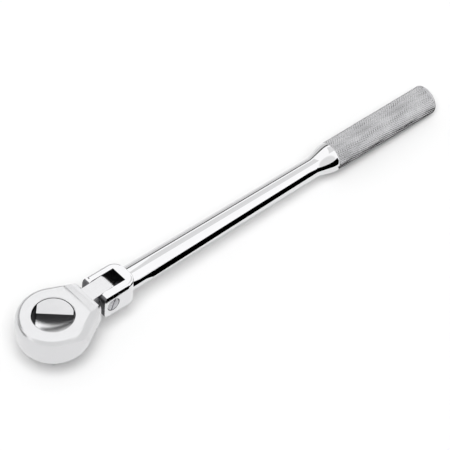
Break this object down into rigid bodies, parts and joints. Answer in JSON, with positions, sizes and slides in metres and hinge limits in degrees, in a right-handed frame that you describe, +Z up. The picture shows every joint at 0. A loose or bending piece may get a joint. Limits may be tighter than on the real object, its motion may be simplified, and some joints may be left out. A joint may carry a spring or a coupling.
{
  "type": "flex-head ratchet wrench",
  "caption": "Hand ratchet with a round reversible head on a flex hinge, a square male drive for sockets and a long round handle with a knurled grip.",
  "frame": {"origin": "centre of the square drive's end face, on the drive axis", "axes": "+Z up the drive axis towards the selector dial, +X along the handle, -Z out of the drive end"},
  "size_m": [0.2312, 0.033, 0.0271],
  "materials": {
    "polished_chrome": "polished chrome plate",
    "knurled_chrome": "satin chrome plate over a diamond knurl",
    "plate_steel": "stamped, satin",
    "spring_steel": "oil-tempered, satin",
    "dark_steel": "hardened, black oxide",
    "screw_steel": "plated, satin",
    "seal_rubber": "matte",
    "ball_steel": "ground and polished"
  },
  "bodies": {
    "head": {"head_body": "polished_chrome", "cover_plate": "plate_steel", "thrust_washer": "spring_steel", "retaining_ring": "spring_steel"},
    "drive": {"drive_anvil": "polished_chrome", "pawl_pin": "dark_steel", "drive_ball_spring": "spring_steel"},
    "ball": {"drive_ball": "ball_steel"},
    "selector": {"selector_dial": "polished_chrome", "selector_seal": "seal_rubber", "selector_spring": "spring_steel"},
    "detent": {"selector_plunger": "ball_steel"},
    "pawl": {"pawl": "dark_steel"},
    "handle": {"handle": "polished_chrome", "hinge_screw": "screw_steel", "flex_spring": "spring_steel"},
    "flex_detent": {"flex_plunger": "dark_steel"}
  },
  "joints": [
    {"name": "flex_hinge", "type": "hinge", "parent": "head", "child": "handle", "pos_m": [0.0267, 0, 0.0193], "axis": [0, 1, 0], "range_deg": [-93.81, 86.19]},
    {"name": "drive_spin", "type": "hinge", "parent": "head", "child": "drive", "pos_m": [0, 0, 0.0175], "axis": [0, 0, 1], "continuous": true},
    {"name": "selector_turn", "type": "hinge", "parent": "drive", "child": "selector", "pos_m": [0, 0, 0.0215], "axis": [0, 0, 1], "range_deg": [0, 88]},
    {"name": "pawl_rock", "type": "hinge", "parent": "drive", "child": "pawl", "pos_m": [0, 0.0076, 0.0175], "axis": [0, 0, 1], "range_deg": [-14, 0]},
    {"name": "drive_ball_press", "type": "slide", "parent": "drive", "child": "ball", "axis": [0, 1, 0], "range_m": [0, 0.0006], "stiffness_N_per_m": 2500, "springref_m": -0.0008, "deforming": ["drive_ball_spring"]},
    {"name": "selector_plunger_press", "type": "slide", "parent": "selector", "child": "detent", "axis": [-0.6947, -0.7193, 0], "range_m": [0, 0.0005], "stiffness_N_per_m": 2500, "springref_m": -0.001, "deforming": ["selector_spring"]},
    {"name": "flex_plunger_press", "type": "slide", "parent": "handle", "child": "flex_detent", "axis": [0.9978, 0, -0.0665], "range_m": [0, 0.0008], "stiffness_N_per_m": 4000, "springref_m": -0.0015, "deforming": ["flex_spring"]}
  ],
  "couplings": [
    {"joint": "pawl_rock", "follows": "selector_turn", "ratio": -0.15909}
  ]
}
